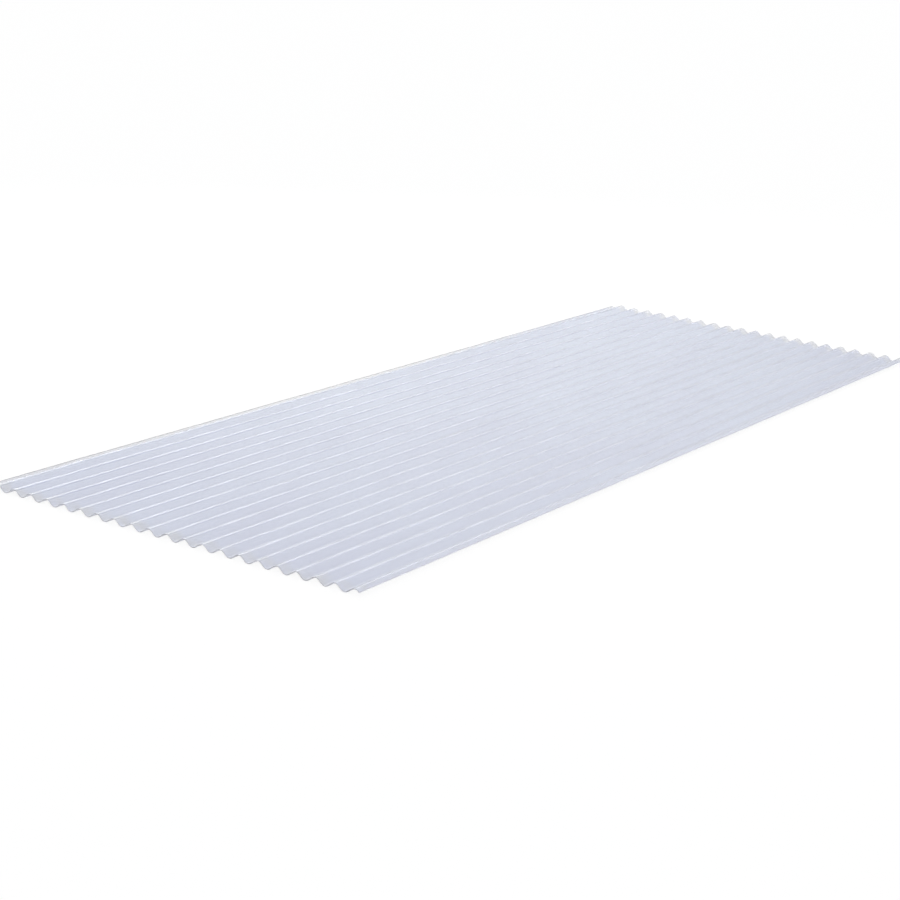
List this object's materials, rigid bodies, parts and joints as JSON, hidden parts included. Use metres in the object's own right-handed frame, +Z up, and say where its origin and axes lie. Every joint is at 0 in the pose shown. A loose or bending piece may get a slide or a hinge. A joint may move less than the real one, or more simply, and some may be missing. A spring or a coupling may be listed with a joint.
{
  "type": "corrugated pvc sheet",
  "caption": "Thin translucent plastic sheet formed into small even round waves along its length, with square-cut ends and edges, for light roofs, walls and covers.",
  "frame": {"origin": "centre of the sheet's outline, on the plane that the undersides of the troughs rest on", "axes": "+Y along the waves, the sheet's length, +X across the waves, +Z up, out of the troughs"},
  "size_m": [0.66, 1.83, 0.009],
  "materials": {
    "pvc": "gloss"
  },
  "bodies": {
    "root": {"corrugated_sheet": "pvc"}
  },
  "joints": []
}
